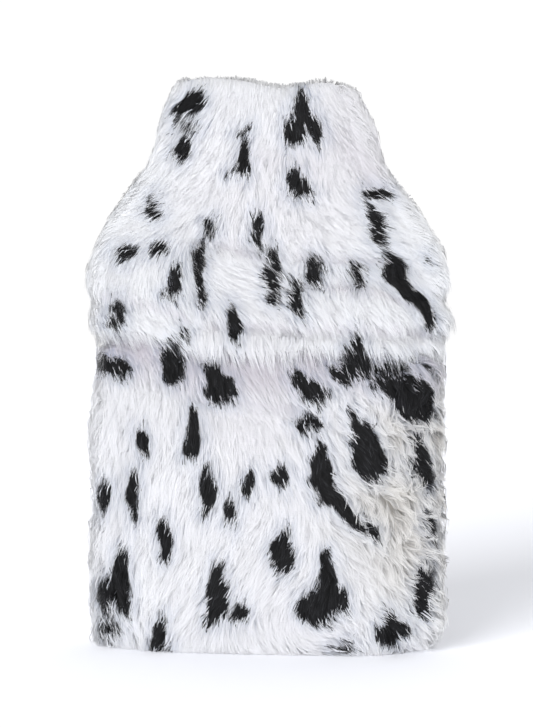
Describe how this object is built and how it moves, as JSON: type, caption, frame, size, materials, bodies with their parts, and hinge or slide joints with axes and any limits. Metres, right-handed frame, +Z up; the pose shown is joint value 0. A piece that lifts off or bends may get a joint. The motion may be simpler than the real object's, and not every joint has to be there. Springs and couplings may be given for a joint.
{
  "type": "hot water bottle cover",
  "caption": "Fitted long-pile fur fabric cover for a hot water bottle, with an open collar and a flap that overlaps a pocket on the near side.",
  "frame": {"origin": "on the surface that the cover stands on, under the middle of its overall box", "axes": "+Z up along the cover's height, +X to the right across its width, +Y towards the back panel; the flap and the pocket face -Y"},
  "size_m": [0.2248, 0.0926, 0.3604],
  "materials": {
    "spotted_fur": "long brushed pile, matt white with uneven black animal spots"
  },
  "bodies": {
    "root": {"back_panel": "spotted_fur", "front_flap": "spotted_fur", "front_pocket": "spotted_fur"}
  },
  "joints": []
}
